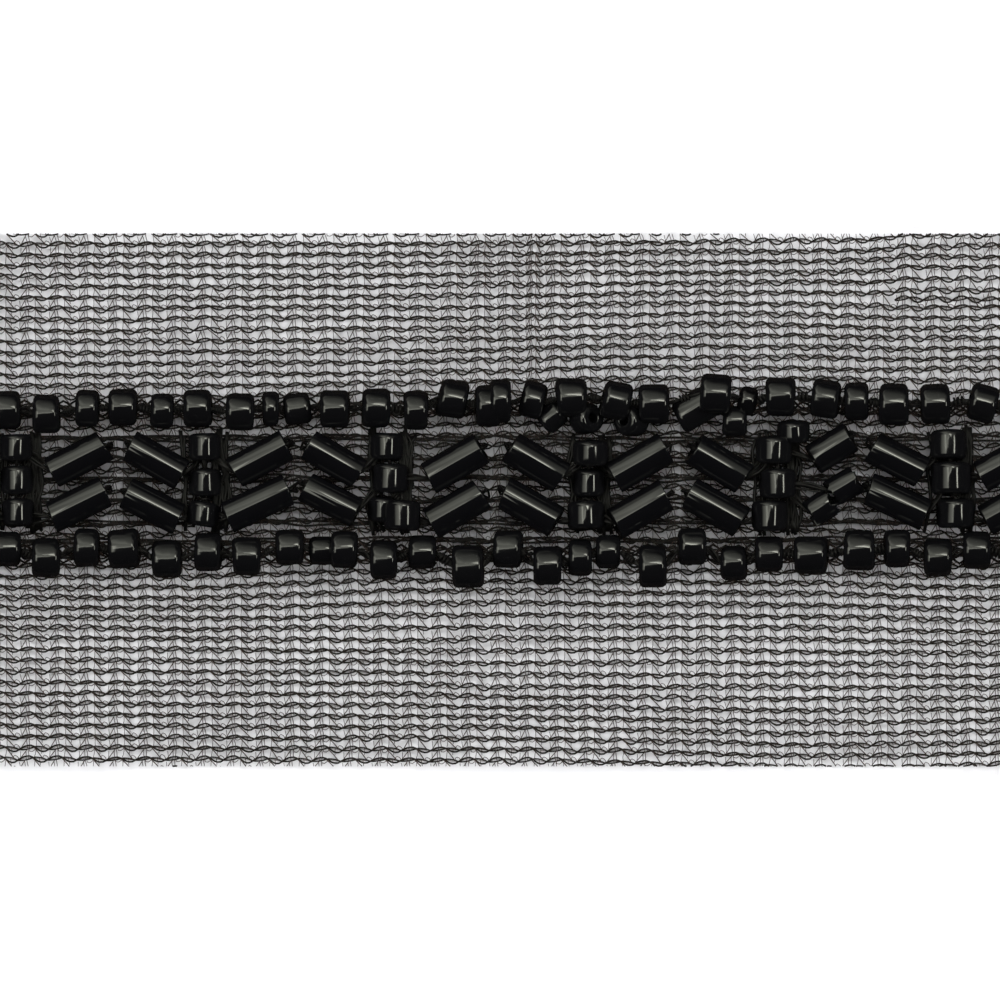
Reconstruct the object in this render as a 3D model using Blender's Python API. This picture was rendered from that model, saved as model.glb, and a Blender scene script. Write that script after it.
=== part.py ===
# Beaded lace trim: a strip of black net with a band of black glass beads sewn on its face.
# Metres, +Z up. The net lies flat with its long side along X, and the beads stand on its upper face.
# The origin is in the middle of the net's underside.

import math
from collections import namedtuple

import bmesh
import bpy
from mathutils import Vector

MM = 0.001

# The net: one flat strip, knitted in courses that run along the trim.
NET_WIDTH = 31.75 * MM
CUT_LENGTH = 69.0 * MM
NET_THICK = 1.0 * MM
COURSES = 49
COURSE_RISE = 0.15 * MM

# The beads.
THREAD_WIDE = 0.3 * MM
SEED_EDGE = 0.28 * MM
SEED_FACE = 0.62  # share of a seed bead's radius that its flat end keeps
BUGLE_EDGE = 0.1 * MM
BUGLE_FACE = 0.88
BORE_LIP = 0.06 * MM
THREAD_TAIL = 0.08 * MM
AIR = 0.3 * MM  # between a bead and the net under it
SEED_SIDES = 8
BUGLE_SIDES = 12
CAP_WELD = 0.0001 * MM

# Places are in pixels of a picture 1000 px wide, taken straight from above and centred on the net,
# x to the right and y down. Sizes are in millimetres.
PX = NET_WIDTH / 533
PICTURE_MIDDLE = 500

# x and y: the middle of the bead. long: along its bore. wide: across it.
# heading: the bore's direction, in degrees anticlockwise from the trim's length.
# lift: how far it is pushed up off the net by its neighbours, in millimetres.
Bead = namedtuple("Bead", "x y long wide heading lift", defaults=(0, 0))

UPPER_ROW = [
    Bead(-62, 409, 1.5, 2.1), Bead(-29, 411, 1.55, 2.15), Bead(8, 410, 1.5, 2.15),
    Bead(47, 414, 1.5, 2.2), Bead(88, 408.5, 1.3, 2.1), Bead(123.5, 407.5, 1.6, 2.05),
    Bead(162.5, 411, 1.3, 1.95), Bead(198, 408.5, 1.6, 2.1), Bead(240.5, 412, 1.55, 2.1),
    Bead(271, 409, 0.9, 1.95), Bead(297.5, 409, 1.5, 1.75, 8), Bead(335, 409, 1.65, 2.15),
    Bead(376, 408, 1.55, 2.2), Bead(416, 410.5, 1.35, 2.2), Bead(453, 399, 1.65, 2.15, -10),
    Bead(488, 406, 1.4, 2.4), Bead(533, 400, 1.35, 2.05, -15), Bead(571, 398, 1.7, 2.2),
    Bead(616, 401, 1.6, 2.15, -12), Bead(653.5, 404, 1.7, 2.25), Bead(715, 394, 1.7, 2.25, -4, 0.6),
    Bead(747, 401, 1.0, 1.6, -12), Bead(780, 397, 1.65, 2.2), Bead(825, 399, 1.6, 2.15, -10),
    Bead(856, 401.5, 1.35, 2.15), Bead(893, 404.5, 1.65, 2.35), Bead(934.5, 404, 1.65, 2.25),
    Bead(982, 403.5, 1.55, 2.1, -15), Bead(1021, 406, 1.5, 2.15), Bead(1058, 404, 1.55, 2.1),
]
# Beads of the upper row that are crowded out of line and lie against their neighbours.
UPPER_CROWDED = [
    Bead(500, 401, 1.2, 2.5, 0, 0.1), Bead(552, 417, 1.4, 1.5, 40), Bead(586, 419, 1.4, 1.7, 10),
    Bead(631, 421, 1.45, 1.7, -8), Bead(697, 408, 2.6, 1.9, 31), Bead(734.5, 421.5, 1.35, 1.7),
]
LOWER_ROW = [
    Bead(-64, 552, 1.5, 2.15), Bead(-30, 556, 1.55, 2.1), Bead(8, 549, 1.5, 1.95),
    Bead(46.5, 557.5, 1.55, 2.2), Bead(87.5, 547.5, 1.4, 2.15), Bead(124.5, 548.5, 1.75, 2.2, 5),
    Bead(167.5, 558.8, 1.65, 2.1), Bead(208.5, 552, 1.5, 2.15), Bead(247, 556, 1.6, 2.15),
    Bead(290, 547, 1.6, 1.95), Bead(344.5, 549.5, 1.5, 2.1), Bead(384, 559.5, 1.5, 2.2),
    Bead(422.5, 552, 1.55, 1.9), Bead(468, 566.5, 1.8, 2.45), Bead(508, 549, 1.6, 2.15),
    Bead(547.5, 565.5, 1.6, 2.2), Bead(580, 557.5, 1.3, 2.05), Bead(608, 551.5, 1.35, 1.9),
    Bead(652.5, 566, 1.55, 2.45), Bead(691.5, 546.5, 1.55, 2.1), Bead(733.5, 563, 1.45, 1.95),
    Bead(768.5, 554, 1.55, 2.0), Bead(810.5, 555, 1.9, 2.15), Bead(858.5, 550, 1.75, 2.3),
    Bead(896.5, 548.5, 1.45, 2.15), Bead(937, 557.5, 1.55, 2.15), Bead(976, 550, 1.55, 2.1),
    Bead(1014, 554, 1.5, 2.15), Bead(1053, 549, 1.55, 2.1),
]
LOWER_CROWDED = [
    Bead(322, 550.5, 1.4, 1.6),
]
COLUMNS = {
    "column_1": [
        Bead(16.6, 447.5, 1.4, 1.75, 90), Bead(17.5, 480, 1.5, 1.75, 90), Bead(18.5, 512.5, 1.45, 1.75, 90),
    ],
    "column_2": [
        Bead(205, 447, 1.45, 1.75, 90), Bead(205.5, 482.5, 1.45, 1.75, 90), Bead(203.5, 514, 1.3, 1.75, 82),
    ],
    "column_3": [
        Bead(387, 446.5, 1.45, 1.75, 90), Bead(390.5, 478, 1.55, 1.95, 90),
        Bead(402.5, 515.5, 1.6, 1.95, 90, 0.3),
    ],
    "column_4": [
        Bead(590.5, 453, 1.35, 1.95, 90), Bead(589, 483, 1.5, 1.7, 90), Bead(586, 515.5, 1.5, 2.05, 90),
    ],
    "column_5": [
        Bead(773.5, 450, 1.5, 1.95, 90), Bead(777.5, 483.5, 1.55, 2.0, 90),
        Bead(769.5, 515.5, 1.6, 1.95, 90),
    ],
    "column_6": [
        Bead(948, 445, 1.6, 1.95, 90), Bead(950.5, 478.5, 1.75, 2.25, 90), Bead(955, 513, 1.6, 2.05, 90),
    ],
}
COLUMN_CROWDED = {
    "column_3": [Bead(383, 509.5, 1.35, 1.6, 90)],
    "column_5": [Bead(793, 432, 1.15, 1.75, 90)],
}
BUGLES = {
    "bugle_1_left_upper": Bead(-38, 460, 3.5, 1.95, -29),
    "bugle_1_left_lower": Bead(-39, 506, 3.5, 1.95, -28),
    "bugle_1_right_upper": Bead(76, 459, 3.5, 1.9, 27),
    "bugle_1_right_lower": Bead(76, 504.5, 3.5, 1.9, 26),
    "bugle_2_left_upper": Bead(154, 460.5, 3.5, 1.9, -29.5),
    "bugle_2_left_lower": Bead(151, 506, 3.5, 1.9, -27),
    "bugle_2_right_upper": Bead(260.5, 459, 3.5, 1.9, 28),
    "bugle_2_right_lower": Bead(258, 503.5, 3.9, 1.9, 25),
    "bugle_3_left_upper": Bead(334, 459.5, 3.4, 1.85, -30),
    "bugle_3_left_lower": Bead(331.5, 500, 3.4, 1.8, -27),
    "bugle_3_right_upper": Bead(455, 463.5, 3.6, 1.95, 30),
    "bugle_3_right_lower": Bead(459, 509, 3.5, 1.95, 30),
    "bugle_4_left_upper": Bead(536, 462.5, 3.5, 1.95, -31),
    "bugle_4_left_lower": Bead(530.5, 507.5, 3.5, 1.95, -29.5),
    "bugle_4_right_upper": Bead(642, 464, 3.5, 1.95, 30),
    "bugle_4_right_lower": Bead(642, 510, 3.5, 1.95, 30),
    "bugle_5_left_upper": Bead(719, 464, 3.5, 1.95, -31),
    "bugle_5_left_lower": Bead(715.5, 508, 3.5, 1.95, -29.5),
    "bugle_5_right_upper": Bead(834.5, 450.5, 3.0, 1.85, 32),
    "bugle_5_right_chip_outer": Bead(843.5, 486.5, 1.45, 1.7, 30),
    "bugle_5_right_chip_inner": Bead(820, 508, 1.3, 1.7, 32),
    "bugle_6_left_upper": Bead(897, 460, 3.3, 1.9, -27),
    "bugle_6_left_lower": Bead(897, 502, 3.7, 1.9, -25),
    "bugle_6_right_upper": Bead(1005, 463, 3.3, 1.9, 29),
    "bugle_6_right_lower": Bead(1009, 507, 3.3, 1.9, 29),
}


def clear_scene():
    for old in list(bpy.data.objects):
        bpy.data.objects.remove(old)


def new_collection(name):
    collection = bpy.data.collections.new(name)
    bpy.context.scene.collection.children.link(collection)
    return collection


def new_material(name, colour, roughness, metallic=0.0):
    material = bpy.data.materials.new(name)
    material.use_nodes = True
    shader = material.node_tree.nodes["Principled BSDF"]
    shader.inputs["Base Color"].default_value = (*colour, 1.0)
    shader.inputs["Roughness"].default_value = roughness
    shader.inputs["Metallic"].default_value = metallic
    return material


def middle_of(bead):
    """A bead stands with its lowest line just over the net, plus its own lift."""
    right = (bead.x - PICTURE_MIDDLE) * PX
    back = (PICTURE_MIDDLE - bead.y) * PX
    height = NET_THICK + AIR + (bead.wide / 2 + bead.lift) * MM
    return Vector((right, back, height))


def bore_of(bead):
    angle = math.radians(bead.heading)
    return Vector((math.cos(angle), math.sin(angle), 0))


def body_stations(bead, edge, face):
    """Where the glass changes width along the bore: (distance from the bead's middle, radius)."""
    half = bead.long * MM / 2
    radius = bead.wide * MM / 2
    return [
        (-half, radius * face),
        (edge - half, radius),
        (half - edge, radius),
        (half, radius * face),
    ]


def round_curve(name, points, sides):
    """A round tube through (place, radius) points, closed at both ends."""
    data = bpy.data.curves.new(name, "CURVE")
    data.dimensions = "3D"
    data.bevel_depth = 1.0
    data.bevel_resolution = sides // 2 - 2
    data.use_fill_caps = True
    data.twist_mode = "Z_UP"
    spline = data.splines.new("POLY")
    spline.points.add(len(points) - 1)
    spline.use_smooth = True
    for point, (place, radius) in zip(spline.points, points):
        point.co = (*place, 1.0)
        point.radius = radius
    return bpy.data.objects.new(name, data)


def bead_string(name, beads):
    """Seed beads on one thread, which swells to the glass at each bead."""
    thread = THREAD_WIDE / 2
    onward = middle_of(beads[-1]) - middle_of(beads[0])
    points = []
    for bead in beads:
        bore = bore_of(bead)
        if bore.dot(onward) < 0:
            bore = -bore
        lip = bead.long * MM / 2 + BORE_LIP
        glass = body_stations(bead, SEED_EDGE, SEED_FACE)
        for distance, radius in [(-lip, thread), *glass, (lip, thread)]:
            points.append((middle_of(bead) + bore * distance, radius))
    first_way = (points[0][0] - points[1][0]).normalized()
    last_way = (points[-1][0] - points[-2][0]).normalized()
    points.insert(0, (points[0][0] + first_way * THREAD_TAIL, thread))
    points.append((points[-1][0] + last_way * THREAD_TAIL, thread))
    return round_curve(name, points, SEED_SIDES)


def lone_bead(name, bead, edge, face, sides):
    bore = bore_of(bead)
    points = []
    for distance, radius in body_stations(bead, edge, face):
        points.append((middle_of(bead) + bore * distance, radius))
    return round_curve(name, points, sides)


def as_mesh(curve_object, collection):
    """The curve's tube as a mesh object with its caps welded on. The curve is removed."""
    collection.objects.link(curve_object)
    bpy.context.view_layer.update()
    graph = bpy.context.evaluated_depsgraph_get()
    mesh = bpy.data.meshes.new_from_object(curve_object.evaluated_get(graph))
    work = bmesh.new()
    work.from_mesh(mesh)
    bmesh.ops.remove_doubles(work, verts=work.verts, dist=CAP_WELD)
    bmesh.ops.recalc_face_normals(work, faces=work.faces)
    work.to_mesh(mesh)
    work.free()
    name = curve_object.name
    place = curve_object.matrix_world.copy()
    bpy.data.objects.remove(curve_object)
    made = bpy.data.objects.new(name, mesh)
    made.matrix_world = place
    collection.objects.link(made)
    return made


def crowd_in(string, crowded, helpers):
    """The beads that are squeezed out of line become one body with their string."""
    for number, bead in enumerate(crowded, 1):
        name = f"{string.name}_crowded_{number}"
        extra = as_mesh(lone_bead(name, bead, SEED_EDGE, SEED_FACE, SEED_SIDES), helpers)
        extra.hide_render = True
        extra.display_type = "WIRE"
        union = string.modifiers.new(name, "BOOLEAN")
        union.operation = "UNION"
        union.solver = "EXACT"
        union.object = extra


def bead_piece(name, beads, crowded, parts, helpers, glass):
    string = bead_string(name, beads)
    if crowded:
        string = as_mesh(string, parts)
        crowd_in(string, crowded, helpers)
    else:
        parts.objects.link(string)
    string.data.materials.clear()
    string.data.materials.append(glass)


def net_ground(parts, yarn):
    """The strip's section, extruded along the trim: flat below, with a rib for each course above."""
    pitch = NET_WIDTH / COURSES
    section = [(-NET_WIDTH / 2, 0.0), (NET_WIDTH / 2, 0.0)]
    for course in range(COURSES):
        edge = NET_WIDTH / 2 - course * pitch
        section.append((edge, NET_THICK - COURSE_RISE))
        section.append((edge - pitch / 2, NET_THICK))
    section.append((-NET_WIDTH / 2, NET_THICK - COURSE_RISE))
    data = bpy.data.curves.new("net_ground", "CURVE")
    data.dimensions = "2D"
    data.fill_mode = "BOTH"
    data.extrude = CUT_LENGTH / 2
    spline = data.splines.new("POLY")
    spline.points.add(len(section) - 1)
    spline.use_cyclic_u = True
    for point, (across, height) in zip(spline.points, section):
        point.co = (across, height, 0.0, 1.0)
    strip = bpy.data.objects.new("net_ground", data)
    strip.rotation_euler = (math.pi / 2, 0, math.pi / 2)  # the section's own x runs across the trim
    data.materials.append(yarn)
    parts.objects.link(strip)


def build():
    clear_scene()
    parts = new_collection("beaded_lace_trim")
    helpers = new_collection("helpers")
    yarn = new_material("net_yarn", (0.012, 0.011, 0.010), 0.7)
    seed_glass = new_material("seed_glass", (0.006, 0.006, 0.006), 0.12)
    bugle_glass = new_material("bugle_glass", (0.006, 0.006, 0.006), 0.08)
    net_ground(parts, yarn)
    bead_piece("upper_bead_row", UPPER_ROW, UPPER_CROWDED, parts, helpers, seed_glass)
    bead_piece("lower_bead_row", LOWER_ROW, LOWER_CROWDED, parts, helpers, seed_glass)
    for name, beads in COLUMNS.items():
        bead_piece(name, beads, COLUMN_CROWDED.get(name, []), parts, helpers, seed_glass)
    for name, bead in BUGLES.items():
        bugle = lone_bead(name, bead, BUGLE_EDGE, BUGLE_FACE, BUGLE_SIDES)
        bugle.data.materials.append(bugle_glass)
        parts.objects.link(bugle)


build()
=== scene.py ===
import math
from collections import namedtuple

import bpy
import numpy as np
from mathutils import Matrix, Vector


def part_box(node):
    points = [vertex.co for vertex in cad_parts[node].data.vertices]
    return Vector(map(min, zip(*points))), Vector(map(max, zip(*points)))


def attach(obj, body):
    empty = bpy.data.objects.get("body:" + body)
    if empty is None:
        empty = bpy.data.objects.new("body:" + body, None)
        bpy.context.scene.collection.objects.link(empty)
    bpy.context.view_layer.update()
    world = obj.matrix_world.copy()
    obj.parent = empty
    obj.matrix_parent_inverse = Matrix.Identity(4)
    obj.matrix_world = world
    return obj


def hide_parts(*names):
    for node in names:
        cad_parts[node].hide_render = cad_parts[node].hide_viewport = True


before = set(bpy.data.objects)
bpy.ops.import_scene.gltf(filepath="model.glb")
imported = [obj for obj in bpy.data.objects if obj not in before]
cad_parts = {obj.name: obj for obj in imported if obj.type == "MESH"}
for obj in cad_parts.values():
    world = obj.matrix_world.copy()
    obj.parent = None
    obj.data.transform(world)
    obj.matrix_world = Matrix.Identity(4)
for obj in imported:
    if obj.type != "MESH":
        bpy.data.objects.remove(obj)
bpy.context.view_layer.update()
print("frame loaded:", len(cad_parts), "nodes")

mm = 0.001
pictureSide = 1000  # the picture is this many pixels wide and high
netAcross = 533  # and the net's width takes this many of them
netLow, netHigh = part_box("net_ground")
netWidth = netHigh.y - netLow.y
px = netWidth / netAcross
pictureMiddle = pictureSide / 2

# The camera and the paper under the trim
cameraSet = {"lens": 400, "sensor": 36, "pictureWide": pictureSide * px, "focusHeight": 1.0 * mm}
floorSet = {"side": 1.3, "colour": (0.90, 0.90, 0.90), "drop": 0.02 * mm}

# What the glass mirrors. A panel shines where a direction reaches far enough towards it, and fades
# to its sides. stops: (reach, brightness). sides: (reach beside it, share).
panels = {
    "softBox": {
        "towards": (-0.42, 0.91, 0.0),
        "stops": [(0.10, 0.0), (0.125, 4.0), (0.22, 2.0), (0.60, 1.3), (0.84, 0.9), (0.92, 0.0)],
        "beside": (0.91, 0.42, 0.0),
        "sides": [(-0.36, 0.0), (-0.26, 1.0), (0.06, 1.0), (0.10, 0.7), (0.18, 0.30), (0.50, 0.0)],
    },
    "leftWindow": {
        "towards": (-1.0, 0.0, 0.0),
        "stops": [(0.25, 0.0), (0.29, 3.4), (0.48, 2.0), (0.66, 1.2), (0.78, 0.0)],
        "beside": (0.0, 1.0, 0.0),
        "sides": [(-0.34, 0.0), (-0.26, 1.0), (0.24, 1.0), (0.32, 0.0)],
    },
    "strip": {
        "towards": (0.50, 0.87, 0.0),
        "stops": [(0.265, 0.0), (0.285, 13.0), (0.34, 9.0), (0.42, 2.2), (0.56, 0.0)],
        "beside": (-0.87, 0.50, 0.0),
        "sides": [(-0.16, 0.0), (-0.10, 1.0), (0.12, 1.0), (0.20, 0.0)],
    },
    "sideStrip": {
        "towards": (1.0, 0.0, 0.0),
        "stops": [(0.50, 0.0), (0.53, 10.0), (0.58, 12.0), (0.62, 0.0)],
        "beside": (0.0, 1.0, 0.0),
        "sides": [(-0.20, 0.0), (-0.12, 1.0), (0.14, 1.0), (0.22, 0.0)],
    },
    "wall": {
        "towards": (0.42, 0.91, 0.0),
        "stops": [(0.28, 0.0), (0.36, 0.75), (0.80, 0.40), (0.92, 0.0)],
        "beside": (-0.91, 0.42, 0.0),
        "sides": [(-0.50, 0.0), (-0.25, 1.0), (1.0, 1.0)],
    },
}
panelTint = (0.98, 1.0, 0.86)  # the panels are a little warm
backdrop = (0.93, 0.93, 0.93)
horizon = 0.02  # the panels shine above this height of a direction
# The lamps that light the cloth and the paper. way: where from. falls: how much it lays on the floor.
lampSet = {
    "topLamp": {"way": (0.05, 0.10, 1.0), "far": 1.1, "size": 0.5, "falls": 0.62},
    "leftLamp": {"way": (-0.92, 0.10, 0.38), "far": 1.1, "size": 0.35, "falls": 0.98},
    "rightLamp": {"way": (0.92, 0.05, 0.38), "far": 1.1, "size": 0.35, "falls": 0.98},
    "backLamp": {"way": (0.05, 0.80, 0.60), "far": 1.1, "size": 0.40, "falls": 0.98},
    "frontLamp": {"way": (-0.05, -0.80, 0.60), "far": 1.1, "size": 0.40, "falls": 0.88},
}
lampColour = (0.98, 0.98, 1.0)

Bead = namedtuple("Bead", "x y long wide heading lift tip", defaults=(0, 0, 0))

# x and y: the bead's middle in the picture. long: along its bore, wide: across it, in millimetres.
# heading: degrees anticlockwise from the trim's length. lift: how far its neighbours push it up.
# tip: degrees that one end of the bore stands up.
upperRow = [
    Bead(-62, 409, 1.5, 2.1), Bead(-29, 411, 1.55, 2.15), Bead(8, 410, 1.5, 2.15),
    Bead(47, 414, 1.5, 2.2), Bead(88, 408.5, 1.3, 2.1), Bead(123.5, 407.5, 1.6, 2.05),
    Bead(162.5, 411, 1.3, 1.95), Bead(198, 408.5, 1.6, 2.1), Bead(240.5, 412, 1.55, 2.1),
    Bead(271, 409, 0.9, 1.95), Bead(297.5, 409, 1.5, 1.75, 8), Bead(335, 409, 1.65, 2.15),
    Bead(376, 408, 1.55, 2.2), Bead(416, 410.5, 1.35, 2.2), Bead(453, 399, 1.65, 2.15, -10),
    Bead(488, 406, 1.4, 2.4), Bead(533, 400, 1.35, 2.05, -15), Bead(571, 398, 1.7, 2.2),
    Bead(616, 401, 1.6, 2.15, -12), Bead(653.5, 404, 1.7, 2.25), Bead(715, 394, 1.7, 2.25, -4, 0.6),
    Bead(747, 401, 1.0, 1.6, -12), Bead(780, 397, 1.65, 2.2), Bead(825, 399, 1.6, 2.15, -10),
    Bead(856, 401.5, 1.35, 2.15), Bead(893, 404.5, 1.65, 2.35), Bead(934.5, 404, 1.65, 2.25),
    Bead(982, 403.5, 1.55, 2.1, -15), Bead(1021, 406, 1.5, 2.15), Bead(1058, 404, 1.55, 2.1),
]
upperCrowded = [
    Bead(500, 401, 1.2, 2.5, 0, 0.1), Bead(552, 417, 1.4, 1.5, 40), Bead(586, 419, 1.4, 1.7, 10, 0, 52),
    Bead(631, 421, 1.45, 1.7, -8, 0, -52), Bead(697, 408, 2.6, 1.9, 31), Bead(734.5, 421.5, 1.35, 1.7),
]
lowerRow = [
    Bead(-64, 552, 1.5, 2.15), Bead(-30, 556, 1.55, 2.1), Bead(8, 549, 1.5, 1.95),
    Bead(46.5, 557.5, 1.55, 2.2), Bead(87.5, 547.5, 1.4, 2.15), Bead(124.5, 548.5, 1.75, 2.2, 5),
    Bead(167.5, 558.8, 1.65, 2.1), Bead(208.5, 552, 1.5, 2.15), Bead(247, 556, 1.6, 2.15),
    Bead(290, 547, 1.6, 1.95), Bead(344.5, 549.5, 1.5, 2.1), Bead(384, 559.5, 1.5, 2.2),
    Bead(422.5, 552, 1.55, 1.9), Bead(468, 566.5, 1.8, 2.45), Bead(508, 549, 1.6, 2.15),
    Bead(547.5, 565.5, 1.6, 2.2), Bead(580, 557.5, 1.3, 2.05), Bead(608, 551.5, 1.35, 1.9),
    Bead(652.5, 566, 1.55, 2.45), Bead(691.5, 546.5, 1.55, 2.1), Bead(733.5, 563, 1.45, 1.95),
    Bead(768.5, 554, 1.55, 2.0), Bead(810.5, 555, 1.9, 2.15), Bead(858.5, 550, 1.75, 2.3),
    Bead(896.5, 548.5, 1.45, 2.15), Bead(937, 557.5, 1.55, 2.15), Bead(976, 550, 1.55, 2.1),
    Bead(1014, 554, 1.5, 2.15), Bead(1053, 549, 1.55, 2.1),
]
lowerCrowded = [Bead(322, 550.5, 1.4, 1.6)]
columns = {
    "column_1": [
        Bead(16.6, 447.5, 1.4, 1.75, 90), Bead(17.5, 480, 1.5, 1.75, 90), Bead(18.5, 512.5, 1.45, 1.75, 90),
    ],
    "column_2": [
        Bead(205, 447, 1.45, 1.75, 90), Bead(205.5, 482.5, 1.45, 1.75, 90), Bead(203.5, 514, 1.3, 1.75, 82),
    ],
    "column_3": [
        Bead(387, 446.5, 1.45, 1.75, 90), Bead(390.5, 478, 1.55, 1.95, 90),
        Bead(402.5, 515.5, 1.6, 1.95, 90, 0.3), Bead(383, 509.5, 1.35, 1.6, 90),
    ],
    "column_4": [
        Bead(590.5, 453, 1.35, 1.95, 90), Bead(589, 483, 1.5, 1.7, 90), Bead(586, 515.5, 1.5, 2.05, 90),
    ],
    "column_5": [
        Bead(773.5, 450, 1.5, 1.95, 90), Bead(777.5, 483.5, 1.55, 2.0, 90),
        Bead(769.5, 515.5, 1.6, 1.95, 90), Bead(793, 432, 1.15, 1.75, 90),
    ],
    "column_6": [
        Bead(948, 445, 1.6, 1.95, 90), Bead(950.5, 478.5, 1.75, 2.25, 90), Bead(955, 513, 1.6, 2.05, 90),
    ],
}
bugles = {
    "bugle_1_left_upper": Bead(-38, 460, 3.5, 1.95, -29),
    "bugle_1_left_lower": Bead(-39, 506, 3.5, 1.95, -28),
    "bugle_1_right_upper": Bead(79, 459, 3.5, 1.9, 27),
    "bugle_1_right_lower": Bead(78.5, 504.5, 3.5, 1.9, 26),
    "bugle_2_left_upper": Bead(156.5, 460.5, 3.5, 1.9, -29.5),
    "bugle_2_left_lower": Bead(153, 506, 3.5, 1.9, -27),
    "bugle_2_right_upper": Bead(260.5, 459, 3.5, 1.9, 28),
    "bugle_2_right_lower": Bead(258, 503.5, 3.9, 1.9, 25),
    "bugle_3_left_upper": Bead(334, 459.5, 3.4, 1.85, -30),
    "bugle_3_left_lower": Bead(331.5, 500, 3.4, 1.8, -27),
    "bugle_3_right_upper": Bead(455, 463.5, 3.6, 1.95, 30),
    "bugle_3_right_lower": Bead(456.5, 509, 3.5, 1.95, 30),
    "bugle_4_left_upper": Bead(536, 462.5, 3.5, 1.95, -31),
    "bugle_4_left_lower": Bead(530.5, 507.5, 3.5, 1.95, -29.5),
    "bugle_4_right_upper": Bead(639.5, 463, 3.5, 1.95, 30),
    "bugle_4_right_lower": Bead(640, 509.5, 3.5, 1.95, 30),
    "bugle_5_left_upper": Bead(719, 464, 3.5, 1.95, -31),
    "bugle_5_left_lower": Bead(715.5, 508, 3.5, 1.95, -29.5),
    "bugle_5_right_upper": Bead(831.5, 448.5, 2.6, 1.85, 32),
    "bugle_5_right_chip_outer": Bead(843.5, 486.5, 1.45, 1.7, 30),
    "bugle_5_right_chip_inner": Bead(820, 508, 1.3, 1.7, 32),
    "bugle_6_left_upper": Bead(897, 460, 3.3, 1.9, -27),
    "bugle_6_left_lower": Bead(897, 502, 3.7, 1.9, -25),
    "bugle_6_right_upper": Bead(1005, 463, 3.3, 1.9, 29),
    "bugle_6_right_lower": Bead(1009, 507, 3.3, 1.9, 29),
}


# Small helpers

def across(x):
    return (x - pictureMiddle) * px


def along(y):
    return (pictureMiddle - y) * px


def newMesh(name, verts, faces, material):
    mesh = bpy.data.meshes.new(name)
    mesh.from_pydata(verts, [], faces)
    mesh.update()
    mesh.shade_smooth()
    mesh.materials.append(material)
    piece = bpy.data.objects.new(name, mesh)
    bpy.context.scene.collection.objects.link(piece)
    return piece


def settle(piece, slotName, *nodes):
    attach(piece, "root")
    if nodes:
        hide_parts(*nodes)
    return piece


def nodeMaterial(name, colour, roughness):
    material = bpy.data.materials.new(name)
    material.use_nodes = True
    tree = material.node_tree
    shader = tree.nodes["Principled BSDF"]
    shader.inputs["Base Color"].default_value = (*colour, 1)
    shader.inputs["Roughness"].default_value = roughness
    return material, tree, shader


def addNode(tree, kind, **values):
    node = tree.nodes.new(kind)
    for key, value in values.items():
        if hasattr(node, key):
            setattr(node, key, value)
        else:
            node.inputs[key.replace("_", " ")].default_value = value
    return node


# Materials

yarnLook = {"dark": (0.004, 0.0035, 0.003), "pale": (0.020, 0.016, 0.012), "roughness": 0.50,
            "gloss": 0.25, "grainScale": 9000, "bump": 0.25}
hairLook = {"dark": (0.030, 0.020, 0.014), "pale": (0.085, 0.060, 0.048), "roughness": 0.40,
            "gloss": 0.30, "grainScale": 5000, "bump": 0.0}
sewingLook = {"dark": (0.002, 0.002, 0.002), "pale": (0.010, 0.009, 0.008), "roughness": 0.45,
              "gloss": 0.25, "grainScale": 7000, "bump": 0.30}
seedLook = {"colour": (0.0035, 0.0035, 0.0038), "roughness": 0.10, "rough": (0.06, 0.16),
            "grainScale": 900, "waveScale": 1500, "bump": 0.05}
bugleLook = {"colour": (0.0030, 0.0030, 0.0034), "roughness": 0.06, "rough": (0.04, 0.11),
             "grainScale": 700, "waveScale": 420, "bump": 0.015}
paperLook = {"rough": 0.85, "grainScale": 120}


def threadMaterial(name, look):
    material, tree, shader = nodeMaterial(name, look["dark"], look["roughness"])
    shader.inputs["Specular IOR Level"].default_value = look["gloss"]
    place = addNode(tree, "ShaderNodeTexCoord")
    grain = addNode(tree, "ShaderNodeTexNoise", Scale=look["grainScale"], Detail=3.0)
    tint = addNode(tree, "ShaderNodeValToRGB")
    tint.color_ramp.elements[0].position = 0.35
    tint.color_ramp.elements[0].color = (*look["dark"], 1)
    tint.color_ramp.elements[1].position = 0.75
    tint.color_ramp.elements[1].color = (*look["pale"], 1)
    tree.links.new(place.outputs["Object"], grain.inputs["Vector"])
    tree.links.new(grain.outputs["Fac"], tint.inputs["Fac"])
    tree.links.new(tint.outputs["Color"], shader.inputs["Base Color"])
    if look["bump"]:
        raised = addNode(tree, "ShaderNodeBump", Strength=look["bump"], Distance=0.01 * mm)
        tree.links.new(grain.outputs["Fac"], raised.inputs["Height"])
        tree.links.new(raised.outputs["Normal"], shader.inputs["Normal"])
    return material


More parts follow.
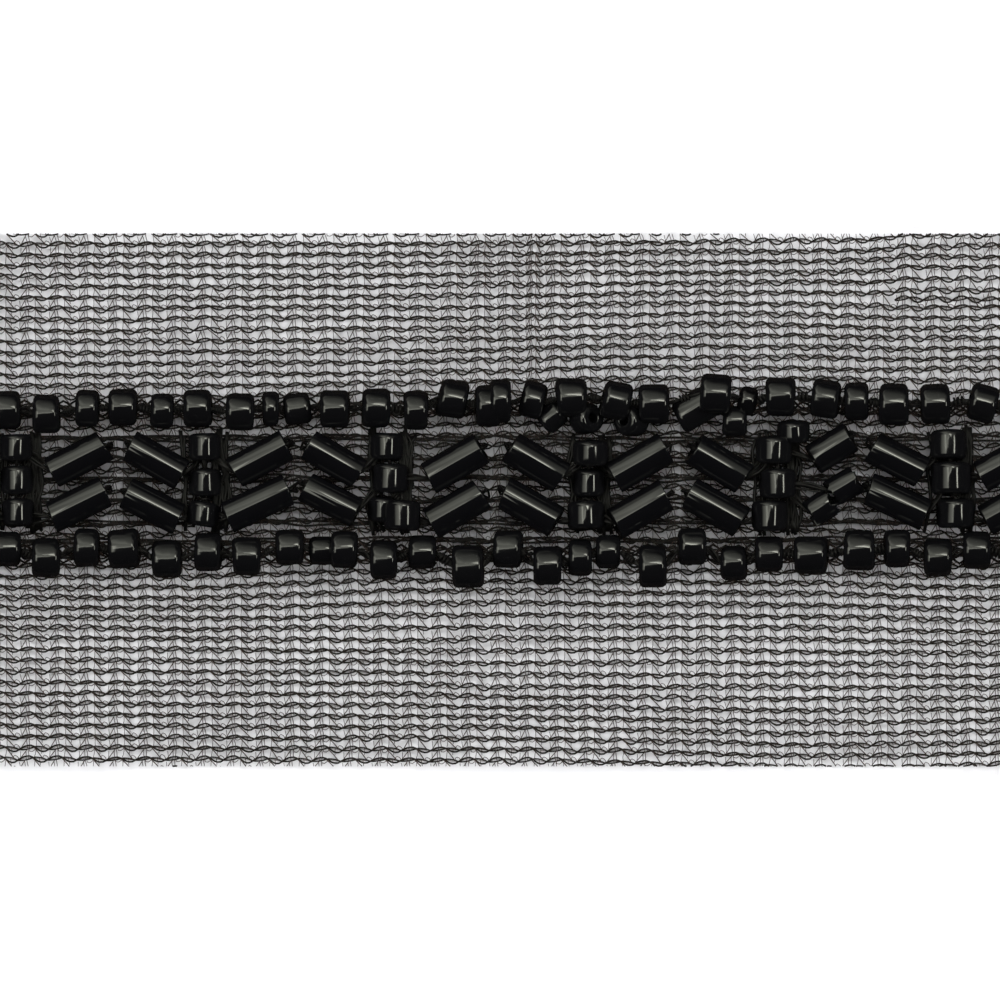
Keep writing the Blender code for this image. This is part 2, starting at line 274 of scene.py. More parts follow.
def glassMaterial(name, look):
    material, tree, shader = nodeMaterial(name, look["colour"], look["roughness"])
    shader.inputs["IOR"].default_value = 1.52
    place = addNode(tree, "ShaderNodeTexCoord")
    smear = addNode(tree, "ShaderNodeTexNoise", Scale=look["grainScale"], Detail=4.0)
    matt = addNode(tree, "ShaderNodeMapRange")
    matt.inputs["From Min"].default_value = 0.35
    matt.inputs["From Max"].default_value = 0.75
    matt.inputs["To Min"].default_value = look["rough"][0]
    matt.inputs["To Max"].default_value = look["rough"][1]
    wave = addNode(tree, "ShaderNodeTexNoise", Scale=look["waveScale"], Detail=1.0)
    raised = addNode(tree, "ShaderNodeBump", Strength=look["bump"], Distance=0.1 * mm)
    tree.links.new(place.outputs["Object"], smear.inputs["Vector"])
    tree.links.new(place.outputs["Object"], wave.inputs["Vector"])
    tree.links.new(smear.outputs["Fac"], matt.inputs["Value"])
    tree.links.new(matt.outputs["Result"], shader.inputs["Roughness"])
    tree.links.new(wave.outputs["Fac"], raised.inputs["Height"])
    tree.links.new(raised.outputs["Normal"], shader.inputs["Normal"])
    return material


def paperMaterial(name, look, colour):
    material, tree, shader = nodeMaterial(name, colour, look["rough"])
    place = addNode(tree, "ShaderNodeTexCoord")
    grain = addNode(tree, "ShaderNodeTexNoise", Scale=look["grainScale"], Detail=2.0)
    tint = addNode(tree, "ShaderNodeValToRGB")
    tint.color_ramp.elements[0].color = (*[c * 0.985 for c in colour], 1)
    tint.color_ramp.elements[1].color = (*colour, 1)
    tree.links.new(place.outputs["Object"], grain.inputs["Vector"])
    tree.links.new(grain.outputs["Fac"], tint.inputs["Fac"])
    tree.links.new(tint.outputs["Color"], shader.inputs["Base Color"])
    return material


yarnBlack = threadMaterial("yarnBlack", yarnLook)
sewingBlack = threadMaterial("sewingBlack", sewingLook)
hairBlack = threadMaterial("hairBlack", hairLook)
seedGlass = glassMaterial("seedGlass", seedLook)
bugleGlass = glassMaterial("bugleGlass", bugleLook)
print("materials ready")


# Threads: every net yarn, hair and sewing thread is a closed tube

def tubes(lines, radius, sides):
    verts = []
    faces = []
    turn = np.arange(sides) * (2 * math.pi / sides)
    ring = np.stack([np.cos(turn), np.sin(turn)], axis=1) * radius
    count = 0
    for line in lines:
        line = np.asarray(line)
        size = len(line)
        if size < 2:
            continue
        way = np.gradient(line, axis=0)
        way /= np.maximum(np.linalg.norm(way, axis=1, keepdims=True), 1e-12)
        side = np.stack([way[:, 1], -way[:, 0], np.zeros(size)], axis=1)
        flat = np.linalg.norm(side, axis=1, keepdims=True)
        side = np.where(flat > 0.05, side / np.maximum(flat, 1e-9), np.array([1.0, 0, 0]))
        up = np.cross(side, way)
        skin = line[:, None] + ring[None, :, :1] * side[:, None] + ring[None, :, 1:] * up[:, None]
        verts.append(skin.reshape(-1, 3))
        first = count + np.arange(size - 1)[:, None] * sides
        step = np.arange(sides)[None, :]
        after = (step + 1) % sides
        quads = np.stack([first + step, first + sides + step, first + sides + after, first + after], axis=2)
        faces.extend(quads.reshape(-1, 4).tolist())
        faces.append((count + np.arange(sides)).tolist())
        faces.append((count + (size - 1) * sides + np.arange(sides)[::-1]).tolist())
        count += size * sides
    return np.concatenate(verts), faces


def trimToCut(line):
    low = np.array([netLow.x, netLow.y])
    high = np.array([netHigh.x, netHigh.y])
    inside = np.all((line[:, :2] >= low) & (line[:, :2] <= high), axis=1)
    if inside.all():
        return [line]
    if not inside.any():
        return []
    runs = []
    run = []
    for here in range(len(line)):
        if here and inside[here] != inside[here - 1]:
            share = 1.0
            start, end = line[here - 1], line[here]
            if not inside[here - 1]:
                start, end = end, start
            for axis in (0, 1):
                move = end[axis] - start[axis]
                if end[axis] > high[axis]:
                    share = min(share, (high[axis] - start[axis]) / move)
                if end[axis] < low[axis]:
                    share = min(share, (low[axis] - start[axis]) / move)
            edge = start + (end - start) * share
            run.append(edge)
            if not inside[here]:
                runs.append(np.array(run))
                run = []
        if inside[here]:
            run.append(line[here])
    if len(run) > 1:
        runs.append(np.array(run))
    return [r for r in runs if len(r) > 1]


# The net. Courses run along the trim: each is two yarns twisted once in a stitch, rising and
# falling a little. Fine hairs join each course to the next one below.
net = {
    "courses": 51, "firstCourse": 234.6, "pitch": 10.70, "stitch": 29.4, "firstTrough": 18.0,
    "from": -160, "to": 1170, "stitches": (-4, 38), "steps": 10,
    "sides": {"thickYarn": 5, "thinYarn": 4},
    "radius": {"thickYarn": 0.98, "thinYarn": 0.76, "innerHair": 0.32, "diagonal": 0.66, "slant": 0.56,
               "hair": 0.44, "fineHair": 0.36, "loop": 0.46},
    "bedHeight": 0.36 * mm, "bandHeight": 0.78 * mm, "bandMiddle": 480, "bandReach": 95,
    "ripple": 0.10 * mm,
}
# How high each yarn of a course runs along one stitch, in pixels: they cross at the ends and the middle
stitchShape = {
    "at": (0, 3.5, 7.5, 12.5, 15.5, 18, 21.5, 25.5, 29.4),
    "thick": (0.1, 2.0, 3.2, 3.5, 2.1, 0.5, -1.4, -1.9, 0.1),
    "thin": (-0.1, -0.2, 0.2, 1.1, 2.1, 2.5, 2.1, 1.5, -0.1),
    "inner": (0.0, 1.2, 1.7, 2.2, 2.1, 1.5, 0.9, 0.4, 0.0),
}
# Where a hair leaves its course and where it meets the next one below, in pixels along the stitch
hairShape = {
    "diagonal": (15.2, 26.0), "slant": (8.2, 0.9), "shortHair": (6.8, 8.8), "longHair": (9.3, 11.0),
    "leftHair": (1.6, 3.0), "rightHair": (17.6, 17.0, 16.8), "endHair": (22.0, 22.5, 23.4),
    "foot": -1.6, "footHigh": 3.9, "crest": 13.2, "crestDrop": 3.3,
}
hairOdds = {"footLoop": 0.8, "crestLoop": 0.55, "leftHair": 0.75, "rightHair": 0.9, "endHair": 0.85}
# How far the courses are pulled down the picture, in pixels, at places along the trim
pullAt = (-80, 0, 100, 200, 300, 400, 500, 600, 700, 800, 880, 900, 1000, 1080)
coursePull = {
    0: (0, 0, 0, 0, 0, 0, 0, 0, -2, -3.6, -5, -8.5, -8.7, -8.7),
    4: (0, -0.5, -0.7, 0, 0, -1.5, -2.7, -3.4, -3.9, -4.4, -5, -9, -9, -8),
    6: (0, 0, 0.3, -0.3, -0.6, -1, -1.8, -3.5, -5, -4.8, -4.5, -7.5, -7.5, -6),
    7: (0, 0, 0.5, -0.8, -1, -1.2, -1.6, -3.7, -5.5, -4.9, -2, -0.6, -1.6, -1.5),
    8: (0, 0.4, 0.8, -1, -1.1, -1.1, -1.3, -3.6, -5.3, -5, -2, -1.2, -1.7, -1.7),
    13: (1, 2.5, 2.8, 2.2, 1.6, -0.5, -1.6, -4.8, -4.8, -4.8, -3, -2.9, -3.5, -3),
    24: (1, 2, 2, 1, -1, -2, -2, -3, -3, -3, -1, 0, 0, 0),
    34: (0, 0.5, 0.5, 1.2, -3, -7, -5.9, -5, -4.5, -3.9, -1.5, -0.1, 1.2, 1),
    38: (-1, -2.2, -2.2, -0.8, 0, 0.5, -1.5, -1.2, -1.2, -0.8, 0.8, 1.1, 3.6, 3),
    42: (0, 0, -0.2, 0.4, 0.4, 0.4, 4.9, 4.3, 4.2, 4.2, 4.8, 4.9, 4.9, 5),
    46: (0.5, 0.5, 0.4, 1, 1.5, 1.7, 2.5, 3.6, 5.5, 8.7, 8.4, 8, 6.2, 6),
    49: (1.5, 1.5, 1.7, 1.7, 2.2, 2.7, 3.4, 4.1, 6, 10, 10, 9.8, 6.5, 6),
}
# How far the stitches of the upper margin are pulled along it
stitchPull = {
    "at": (-80, 200, 380, 441, 500, 519, 546, 580, 800, 920, 1080),
    "by": (0, 0, 6, 10.5, 7.5, 7.2, -3.2, -3.4, 0, -5, -6),
    "lastCourse": 14, "goneBy": 26,
}
# One course more is knitted in here, right of a dropped stitch
extraCourse = {"after": 6, "y": 300.3, "from": 884}

pulledCourses = np.array(sorted(coursePull), dtype=float)
pullTable = np.array([coursePull[int(c)] for c in pulledCourses])
netRandom = np.random.default_rng(7)
courseTunes = netRandom.uniform(0, 2 * math.pi, (net["courses"] + 2, 3))
courseSlip = netRandom.normal(0, 0.55, net["courses"] + 2)


def courseY(course, x):
    rows = np.array([np.interp(x, pullAt, row) for row in pullTable])
    course = np.clip(course, 0, net["courses"] - 2)
    upper = np.searchsorted(pulledCourses, course, side="right")
    upper = min(max(upper, 1), len(pulledCourses) - 1)
    low, high = pulledCourses[upper - 1], pulledCourses[upper]
    share = (course - low) / (high - low)
    return rows[upper - 1] * (1 - share) + rows[upper] * share


def courseBase(course, x):
    tune = courseTunes[int(course)]
    sway = (0.35 * np.sin(x / 61 + tune[0]) + 0.25 * np.sin(x / 27 + tune[1])
            + 0.2 * np.sin(x / 13 + tune[2]))
    return net["firstCourse"] + net["pitch"] * course + courseY(course, x) + sway


def stitchX(course, u):
    pull = np.interp(u, stitchPull["at"], stitchPull["by"])
    late = (course - stitchPull["lastCourse"]) / (stitchPull["goneBy"] - stitchPull["lastCourse"])
    fade = 1 - np.clip(late, 0, 1)
    return u + pull * fade + courseSlip[int(course)]


def netHeight(x, y):
    band = np.exp(-((y - net["bandMiddle"]) / net["bandReach"]) ** 4)
    sway = np.sin(x / 83 + 1.3) * np.sin(y / 57 + 0.4) + 0.6 * np.sin(x / 37 + y / 61)
    return net["bedHeight"] + (net["bandHeight"] - net["bedHeight"]) * band + net["ripple"] * sway


def onNet(x, y, lift=0.0):
    x = np.asarray(x, dtype=float)
    y = np.asarray(y, dtype=float)
    return np.stack([across(x), along(y), netHeight(x, y) + np.asarray(lift) * px], axis=-1)


def rise(kind, s):
    return np.interp(s % net["stitch"], stitchShape["at"], stitchShape[kind])


def courseLines(course, start=net["from"], base=None):
    stitch = net["stitch"]
    u = np.arange(start, net["to"], stitch / net["steps"]) + net["firstTrough"] - start % stitch
    s = u - net["firstTrough"]
    x = stitchX(course, u)
    y = courseBase(course, x) if base is None else base(x)
    swell = 1.12 + 0.18 * np.sin(x / 41 + course * 1.7)
    turn = np.cos(2 * math.pi * s / stitch)
    return {
        "thickYarn": [onNet(x, y - rise("thick", s) * swell, 0.7 * turn)],
        "thinYarn": [onNet(x, y - rise("thin", s) * swell, -0.8 * turn)],
        "innerHair": [onNet(x[::2], (y - rise("inner", s) * swell)[::2], 0.2 * np.sin(s[::2]))],
    }


def hairLines(course):
    stitch = net["stitch"]
    lines = {kind: [] for kind in ("diagonal", "slant", "hair", "fineHair", "loop")}
    for number in range(*net["stitches"]):
        trough = net["firstTrough"] + number * stitch
        shake = netRandom.normal(0, 0.5, 16)
        odds = netRandom.random(5)

        def top(s, below=0.0):
            x = stitchX(course, trough + s)
            return x, courseBase(course, x) - rise("thin", s) + below

        def low(s, above=0.0):
            x = stitchX(course + 1, trough + s)
            return x, courseBase(course + 1, x) - rise("thin", s) - above

        def strand(*ends):
            lift = [0.5, *[0.0] * (len(ends) - 2), -0.5]
            return onNet([e[0] for e in ends], [e[1] for e in ends], lift)

        def between(first, last, share=0.5, bow=0.0):
            upper = top(first)
            lower = low(last)
            x = upper[0] + (lower[0] - upper[0]) * share + bow
            return x, upper[1] + (lower[1] - upper[1]) * share

        first, last = hairShape["diagonal"]
        first, last = first + shake[0], last + shake[1]
        lines["diagonal"].append(strand(top(first), between(first, last, 0.5, 0.3), low(last)))
        first, last = hairShape["slant"]
        lines["slant"].append(strand(top(first + shake[2]), low(last + shake[3])))
        first, last = hairShape["shortHair"]
        lines["hair"].append(strand(between(first, last, 0.1), between(first, last, 0.6),
                                    low(last + shake[6])))
        first, last = hairShape["longHair"]
        lines["hair"].append(strand(top(first + shake[7]), between(first, last, 0.5, 0.3),
                                    low(last + shake[8])))
        if odds[2] < hairOdds["leftHair"]:
            first, last = hairShape["leftHair"]
            lines["fineHair"].append(strand(between(first, last, 0.15), low(last + shake[5])))
        if odds[3] < hairOdds["rightHair"]:
            first, last, foot = hairShape["rightHair"]
            lines["fineHair"].append(strand(between(*hairShape["diagonal"], 0.2), between(first, last, 0.7),
                                            low(foot + shake[9])))
        if odds[4] < hairOdds["endHair"]:
            start, first, last = hairShape["endHair"]
            lines["fineHair"].append(strand(top(start + shake[10]), between(first, last, 0.6)))
        if odds[0] < hairOdds["footLoop"]:  # a little loop that stands up over the trough
            foot = hairShape["foot"] + shake[11]
            high = hairShape["footHigh"] + 0.6 * shake[12]
            lines["loop"].append(strand(
                low(foot - 2.7, -0.6), low(foot - 2.6, high * 0.6), low(foot - 1.2, high),
                low(foot + 1.2, high), low(foot + 2.6, high * 0.6), low(foot + 2.7, -0.6)))
        if odds[1] < hairOdds["crestLoop"]:  # and one that hangs under the crest
            crest = hairShape["crest"] + shake[13]
            drop = hairShape["crestDrop"] + 0.6 * shake[14]
            lines["loop"].append(strand(
                top(crest - 3.1), top(crest - 2.6, drop * 0.7), top(crest, drop),
                top(crest + 2.6, drop * 0.7), top(crest + 3.1)))
    return lines


def netMesh(name, parts, kinds):
    verts = []
    faces = []
    finish = []
    count = 0
    for kind in kinds:
        lines = [run for line in parts[kind] for run in trimToCut(line)]
        kindVerts, kindFaces = tubes(lines, net["radius"][kind] * px, net["sides"].get(kind, 3))
        verts.append(kindVerts)
        faces += [[v + count for v in face] for face in kindFaces]
        finish += [0 if kind.endswith("Yarn") else 1] * len(kindFaces)
        count += len(kindVerts)
    piece = newMesh(name, np.concatenate(verts), faces, yarnBlack)
    piece.data.materials.append(hairBlack)
    piece.data.polygons.foreach_set("material_index", finish)
    return settle(piece, "net_yarn", "net_ground")


def netBand(name, firstCourse, lastCourse):
    parts = {kind: [] for kind in net["radius"]}
    for course in range(firstCourse, lastCourse + 1):
        for lines in (courseLines(course), hairLines(course)):
            for kind, found in lines.items():
                parts[kind] += found
    if firstCourse <= extraCourse["after"] <= lastCourse:
        extra = courseLines(extraCourse["after"], extraCourse["from"],
                            lambda x: extraCourse["y"] + 0.4 * np.sin(x / 31))
        for kind, found in extra.items():
            parts[kind] += found
    cloth = netMesh(name, parts, ("thickYarn", "thinYarn", "innerHair", "diagonal", "slant", "hair"))
    hairs = netMesh(name + "_hairs", parts, ("fineHair", "loop"))
    return cloth, hairs


netBands = [
    netBand("net_upper_margin", 0, 15),
    netBand("net_under_beads", 16, 32),
    netBand("net_lower_margin", 33, 50),
]
print("net ready")


# The glass beads: turned rings with a bore through them, each a little uneven

seedShape = {"bore": 0.36, "shoulder": 0.34 * mm, "corner": 0.36 * mm, "lip": 0.07 * mm, "around": 28,
             "uneven": 0.010, "plumpLong": 0.09, "plumpWide": 0.10, "slant": 0.03, "jag": 0.0}
columnShape = {**seedShape, "plumpWide": 0.20, "plumpLong": 0.16}
bugleShape = {"bore": 0.44, "shoulder": 0.07 * mm, "corner": 0.07 * mm, "lip": 0.03 * mm, "around": 32,
              "uneven": 0.004, "plumpLong": 0.05, "plumpWide": 0.05, "slant": 0.06, "jag": 0.004}
chipShape = {**bugleShape, "jag": 0.12}
frameGap = 0.3 * mm  # the frame's beads sit this much over its net
beadDrop = 0.38 * mm  # and these sit this much nearer the net than they do
beadLuck = {"upper": 3, "lower": 5, "columns": 20, "bugles": 60}


def ringProfile(long, wide, shape):
    half = (long + shape["plumpLong"]) * mm / 2
    radius = (wide + shape["plumpWide"]) * mm / 2
    bore = radius * shape["bore"]
    shoulder = min(shape["shoulder"], half * 0.62)
    corner = min(shape["corner"], (radius - bore) * 0.7)
    lip = shape["lip"]
    end = [(-half * 0.5, bore), (-half + lip, bore), (-half + lip * 0.3, bore + lip * 0.3)]
    end.append((-half, bore + lip))
    for step in range(7):
        turn = math.pi / 2 * step / 6
        end.append((-half + shoulder * (1 - math.cos(turn)), radius - corner * (1 - math.sin(turn))))
    side = [(-half * 0.2, radius * 1.006), (half * 0.2, radius * 1.006)]
    other = [(-a, r) for a, r in reversed(end)]
    return end + side + other


def glassRing(bead, shape, luck):
    profile = ringProfile(bead.long, bead.wide, shape)
    around = shape["around"]
    half = (bead.long + shape["plumpLong"]) * mm / 2
    tune = luck.uniform(0, 2 * math.pi, 6)
    slants = luck.normal(0, shape["slant"], 4)
    jags = luck.normal(0, shape["jag"], (2, around))
    turns = np.arange(around) * 2 * math.pi / around
    verts = np.zeros((len(profile), around, 3))
    for row, (a, r) in enumerate(profile):
        share = a / half
        wobble = (np.sin(2 * turns + tune[0] + share) + 0.6 * np.sin(3 * turns + tune[1] - 2 * share)
                  + 0.5 * math.sin(2.2 * share + tune[2]))
        radius = r * (1 + shape["uneven"] * wobble)
        y = radius * np.cos(turns)
        z = radius * np.sin(turns)
        end = 1 if share > 0 else 0
        cut = abs(share) ** 2 * (slants[end] * y + slants[end + 2] * z + jags[end] * mm)
        verts[row, :, 0] = a + cut
        verts[row, :, 1] = y
        verts[row, :, 2] = z
    tilt = math.radians(luck.normal(0, 2.0) + bead.tip)
    heading = math.radians(bead.heading)
    x = verts[..., 0] * math.cos(tilt) - verts[..., 2] * math.sin(tilt)
    z = verts[..., 0] * math.sin(tilt) + verts[..., 2] * math.cos(tilt)
    y = verts[..., 1]
    place = beadMiddle(bead)
    placed = np.stack([
        place[0] + x * math.cos(heading) - y * math.sin(heading),
        place[1] + x * math.sin(heading) + y * math.cos(heading),
        place[2] + z,
    ], axis=-1).reshape(-1, 3)
    rows = len(profile)
    faces = []
    for row in range(rows):
        here = row * around
        there = (row + 1) % rows * around
        for step in range(around):
            after = (step + 1) % around
            faces.append((here + step, here + after, there + after, there + step))
    return placed, faces


def beadMiddle(bead):
    height = netHigh.z + frameGap - beadDrop + (bead.wide / 2 + bead.lift) * mm
    return np.array([across(bead.x), along(bead.y), height])


def beadsPiece(name, beads, shape, material, slotName, seed):
    luck = np.random.default_rng(seed)
    verts = []
    faces = []
    count = 0
    for bead in beads:
        ringVerts, ringFaces = glassRing(bead, shape, luck)
        verts.append(ringVerts)
        faces += [tuple(v + count for v in face) for face in ringFaces]
        count += len(ringVerts)
    piece = newMesh(name, np.concatenate(verts), faces, material)
    piece.data.set_sharp_from_angle(angle=math.radians(50))
    return settle(piece, slotName, name.replace("_beads", ""))


beadsPiece("upper_bead_row_beads", upperRow + upperCrowded, seedShape, seedGlass, "seed_glass",
           beadLuck["upper"])
beadsPiece("lower_bead_row_beads", lowerRow + lowerCrowded, seedShape, seedGlass, "seed_glass",
           beadLuck["lower"])
for number, (name, beads) in enumerate(columns.items()):
    beadsPiece(name + "_beads", beads, columnShape, seedGlass, "seed_glass", beadLuck["columns"] + number)
for number, (name, bead) in enumerate(bugles.items()):
    shape = chipShape if "chip" in name else bugleShape
    beadsPiece(name + "_beads", [bead], shape, bugleGlass, "bugle_glass", beadLuck["bugles"] + number)
print("beads ready")


# The sewing threads: one strand through each bore and loose ones that sag from bead to bead, knots,
# chain stitches on the net's back, floats from motif to motif and a bundle beside each column

sewing = {
    "strand": 0.075 * mm, "strands": 5, "spread": 0.17 * mm, "sag": 0.30 * mm, "sides": 5,
    "knot": 0.19 * mm, "knotOdds": 0.70, "knotTurns": 2.5,
    "from": -80, "to": 1080, "stitchLong": 13, "stitchSway": 4.5, "under": 0.16 * mm,
    "rows": (405, 411, 550, 557), "floats": (437, 458, 477, 499, 521, 539), "floatLong": 24, "floatApart": 3,
    "bundle": 18, "bundleFrom": 10, "bundleTo": 22, "bundleThick": 0.115 * mm, "bundleRight": 0.8,
    "bundleOver": 14, "bundleUnder": 16,
}
sewingRandom = np.random.default_rng(23)


def boreEnds(bead):
    heading = math.radians(bead.heading)
    way = np.array([math.cos(heading), math.sin(heading), 0.0]) * bead.long * mm / 2
    middle = beadMiddle(bead)
    return middle - way, middle + way


def smoothLine(points, steps=4):
    points = np.asarray(points)
    padded = np.concatenate([points[:1] * 2 - points[1:2], points, points[-1:] * 2 - points[-2:-1]])
    line = []
    for here in range(1, len(padded) - 2):
        before, start, end, after = padded[here - 1:here + 3]
        for step in range(steps):
            t = step / steps
            line.append(0.5 * (2 * start + (end - before) * t
                               + (2 * before - 5 * start + 4 * end - after) * t * t
                               + (3 * start - before - 3 * end + after) * t ** 3))
    line.append(points[-1])
    return np.array(line)


def sagging(start, end):
    lines = []
    for _ in range(sewing["strands"]):
        loose = sewingRandom.normal(0, sewing["spread"], 3)
        middle = (start + end) / 2 + loose
        middle[2] -= sewing["sag"] * sewingRandom.uniform(0.3, 1.4)
        lines.append(smoothLine([start, start * 0.75 + end * 0.25 + loose * 0.6, middle,
                                 start * 0.25 + end * 0.75 + loose * 0.6, end]))
    return lines


def knotAt(place, way):
    way = way / max(np.linalg.norm(way), 1e-9)
    side = np.array([-way[1], way[0], 0.0])
    turns = np.linspace(0, sewing["knotTurns"] * 2 * math.pi, 22)
    size = sewing["knot"] * sewingRandom.uniform(0.8, 1.5)
    ring = np.cos(turns)[:, None] * side + np.sin(turns)[:, None] * np.array([0, 0, 1.0])
    reach = (turns / turns[-1] - 0.5)[:, None] * way * size * 2.2
    return place + ring * size + reach


def strungThread(beads):
    lines = []
    last = None
    for bead in beads:
        near, far = boreEnds(bead)
        if last is not None:
            if np.linalg.norm(far - last) < np.linalg.norm(near - last):
                near, far = far, near
            lines += sagging(last, near)
            if sewingRandom.random() < sewing["knotOdds"]:
                lines.append(knotAt((last + near) / 2, near - last))
        lines.append(np.array([near, (near + far) / 2, far]))
        last = far
    return lines


def tiedDown(bead, target):
    near, far = boreEnds(bead)
    if np.linalg.norm(far[:2] - target[:2]) < np.linalg.norm(near[:2] - target[:2]):
        near, far = far, near
    outer = far + (far - near) * 0.12
    outer[2] = netHeight(bead.x, bead.y)
    return [np.array([near, far]), *sagging(near, target), *sagging(far, outer)]


def chainStitch(y):
    lines = []
    steps = np.arange(sewing["from"], sewing["to"], sewing["stitchLong"])
    for way in (1, -1):
        swing = np.where(np.arange(len(steps)) % 2 == 0, way, -way) * sewing["stitchSway"]
        points = onNet(steps, y + swing + sewingRandom.normal(0, 0.8, len(steps)))
        points[:, 2] -= sewing["under"]
        lines.append(smoothLine(points, 3))
    return lines


def floatThread(y):
    steps = np.arange(sewing["from"], sewing["to"], sewing["floatLong"])
    points = onNet(steps, y + sewingRandom.normal(0, 1.2, len(steps)))
    points[:, 2] -= sewing["under"] * 0.8
    return smoothLine(points, 3)


def columnBundle(beads):  # loose thread beside a column, mostly on its right
    lines = []
    for _ in range(sewing["bundle"]):
        side = 1 if sewingRandom.random() < sewing["bundleRight"] else -1
        middle = beads[1].x + side * sewingRandom.uniform(sewing["bundleFrom"], sewing["bundleTo"])
        highest = beads[0].y - sewing["bundleOver"]
        lowest = beads[2].y + sewing["bundleUnder"]
        down = np.linspace(highest, lowest, 7) + sewingRandom.normal(0, 3, 7)
        points = onNet(middle + sewingRandom.normal(0, 2.2, 7), down)
        points[:, 2] += sewing["strand"] * sewingRandom.uniform(0.5, 1.6)
        lines.append(smoothLine(points, 2))
    return lines


threadLines = strungThread(upperRow) + strungThread(lowerRow)
bundleLines = []
for beads in columns.values():
    threadLines += strungThread(beads[:3])
    bundleLines += columnBundle(beads)
for name, bead in bugles.items():
    column = columns["column_" + name[len("bugle_")]]
    target = min((beadMiddle(b) for b in column[:3]), key=lambda m: np.linalg.norm(m - beadMiddle(bead)))
    threadLines += tiedDown(bead, target)
for y in sewing["rows"]:
    threadLines += chainStitch(y)
for y in sewing["floats"]:
    threadLines += [floatThread(y), floatThread(y + sewing["floatApart"])]
threadVerts, threadFaces = tubes([run for line in threadLines for run in trimToCut(line)],
                                 sewing["strand"], sewing["sides"])
bundleVerts, bundleFaces = tubes([run for line in bundleLines for run in trimToCut(line)],
                                 sewing["bundleThick"], sewing["sides"])
threadFaces = list(threadFaces) + [[v + len(threadVerts) for v in face] for face in bundleFaces]
threadVerts = np.concatenate([threadVerts, bundleVerts])
settle(newMesh("sewing_threads", threadVerts, threadFaces, sewingBlack), "net_yarn")
print("sewing threads ready")


# The floor, the light and the camera

bpy.ops.mesh.primitive_plane_add(size=floorSet["side"], location=(0, 0, -floorSet["drop"]))
floor = bpy.context.object
floor.name = "floor"
floor.data.materials.append(paperMaterial("paper", paperLook, floorSet["colour"]))
floor.visible_glossy = False


def reachRamp(tree, place, towards, stops, peak, tint=(1.0, 1.0, 1.0)):
    reach = tree.nodes.new("ShaderNodeVectorMath")
    reach.operation = "DOT_PRODUCT"
    reach.inputs[1].default_value = towards
    lowest = stops[0][0]
    span = stops[-1][0] - lowest
    spread = tree.nodes.new("ShaderNodeMapRange")
    spread.inputs["From Min"].default_value = lowest
    spread.inputs["From Max"].default_value = lowest + span
    ramp = tree.nodes.new("ShaderNodeValToRGB")
    marks = ramp.color_ramp.elements
    while len(marks) < len(stops):
        marks.new(0.5)
    for mark, (position, value) in zip(marks, stops):
        mark.position = (position - lowest) / span
        mark.color = (*[value / peak * part for part in tint], 1)
    tree.links.new(place.outputs["Generated"], reach.inputs[0])
    tree.links.new(reach.outputs["Value"], spread.inputs["Value"])
    tree.links.new(spread.outputs["Result"], ramp.inputs["Fac"])
    return ramp


def panelGlow(tree, place, setting):
    peak = max(value for _, value in setting["stops"])
    main = reachRamp(tree, place, setting["towards"], setting["stops"], peak, panelTint)
    sides = reachRamp(tree, place, setting["beside"], setting["sides"], 1.0)
    both = tree.nodes.new("ShaderNodeVectorMath")
    both.operation = "MULTIPLY"
    glow = tree.nodes.new("ShaderNodeBackground")
    glow.inputs["Strength"].default_value = peak
    tree.links.new(main.outputs["Color"], both.inputs[0])
    tree.links.new(sides.outputs["Color"], both.inputs[1])
    tree.links.new(both.outputs["Vector"], glow.inputs["Color"])
    return glow.outputs["Background"]


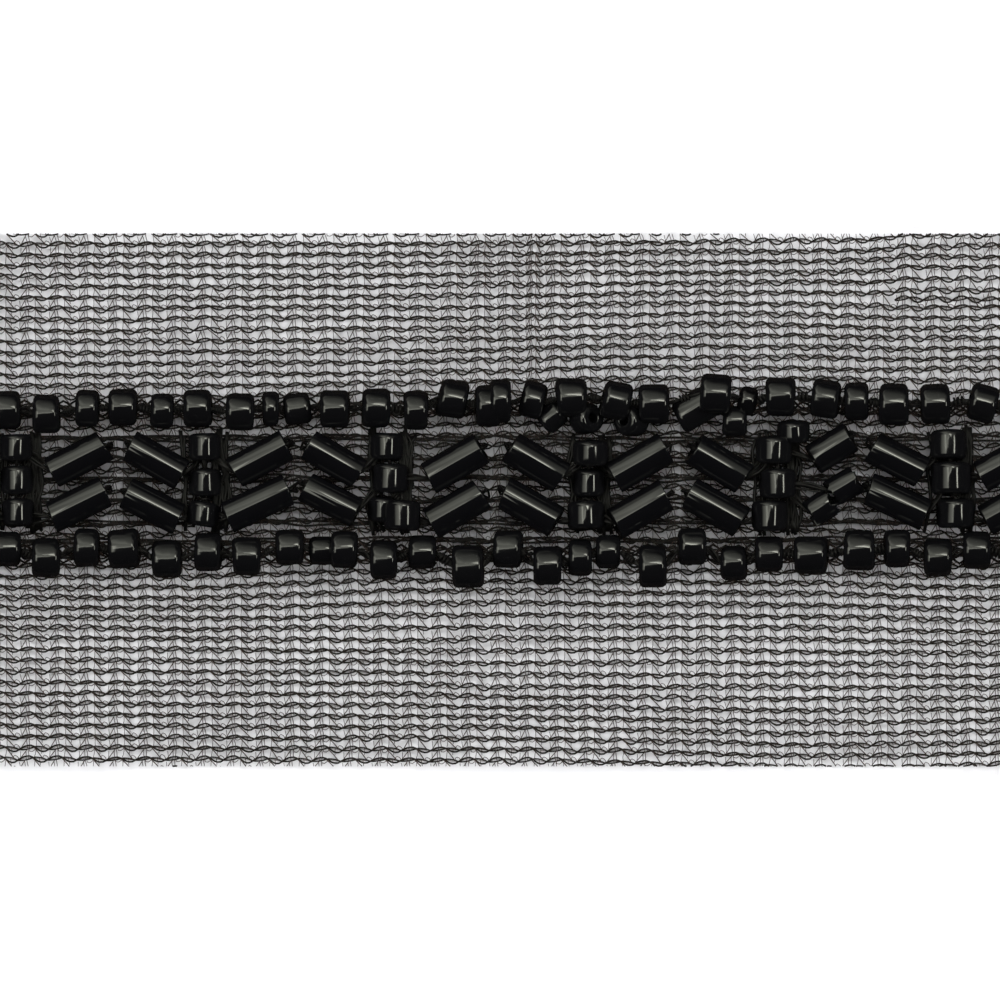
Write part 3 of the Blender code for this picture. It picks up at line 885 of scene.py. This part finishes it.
def studioWorld():
    world = bpy.data.worlds.new("studio")
    bpy.context.scene.world = world
    world.use_nodes = True
    tree = world.node_tree
    tree.nodes.clear()
    place = tree.nodes.new("ShaderNodeTexCoord")
    light = None
    for setting in panels.values():
        glow = panelGlow(tree, place, setting)
        if light is None:
            light = glow
            continue
        both = tree.nodes.new("ShaderNodeAddShader")
        tree.links.new(light, both.inputs[0])
        tree.links.new(glow, both.inputs[1])
        light = both.outputs["Shader"]
    parted = tree.nodes.new("ShaderNodeSeparateXYZ")
    above = tree.nodes.new("ShaderNodeMath")
    above.operation = "GREATER_THAN"
    above.inputs[1].default_value = horizon
    dark = tree.nodes.new("ShaderNodeBackground")
    dark.inputs["Color"].default_value = (0, 0, 0, 1)
    room = tree.nodes.new("ShaderNodeMixShader")  # black below the horizon, so the beads' rims stay dark
    tree.links.new(place.outputs["Generated"], parted.inputs[0])
    tree.links.new(parted.outputs["Z"], above.inputs[0])
    tree.links.new(above.outputs["Value"], room.inputs["Fac"])
    tree.links.new(dark.outputs["Background"], room.inputs[1])
    tree.links.new(light, room.inputs[2])
    light = room.outputs["Shader"]
    shown = tree.nodes.new("ShaderNodeBackground")
    shown.inputs["Color"].default_value = (*backdrop, 1)
    ray = tree.nodes.new("ShaderNodeLightPath")
    either = tree.nodes.new("ShaderNodeMixShader")
    out = tree.nodes.new("ShaderNodeOutputWorld")
    tree.links.new(ray.outputs["Is Camera Ray"], either.inputs["Fac"])
    tree.links.new(light, either.inputs[1])
    tree.links.new(shown.outputs["Background"], either.inputs[2])
    tree.links.new(either.outputs["Shader"], out.inputs["Surface"])
    world.cycles_visibility.diffuse = False  # the lamps light the cloth, the panels only the glass


def softLamp(name, setting):
    way = Vector(setting["way"]).normalized()
    data = bpy.data.lights.new(name, "AREA")
    data.shape = "SQUARE"
    data.size = setting["size"]
    data.energy = setting["falls"] * math.pi * setting["far"] ** 2 / way.z
    data.color = lampColour
    lamp = bpy.data.objects.new(name, data)
    bpy.context.scene.collection.objects.link(lamp)
    lamp.location = way * setting["far"]
    lamp.rotation_euler = way.to_track_quat("Z", "Y").to_euler()
    lamp.visible_camera = False
    lamp.visible_glossy = False


studioWorld()
for name, setting in lampSet.items():
    softLamp(name, setting)
cameraData = bpy.data.cameras.new("camera")
cameraData.lens = cameraSet["lens"]
cameraData.sensor_width = cameraSet["sensor"]
cameraData.clip_start = 0.05
cameraData.clip_end = 20
camera = bpy.data.objects.new("camera", cameraData)
bpy.context.scene.collection.objects.link(camera)
distance = cameraSet["pictureWide"] * cameraSet["lens"] / cameraSet["sensor"]
camera.location = (0, 0, distance + cameraSet["focusHeight"])
bpy.context.scene.camera = camera
bpy.context.scene.view_settings.view_transform = "Standard"
print("stage ready")
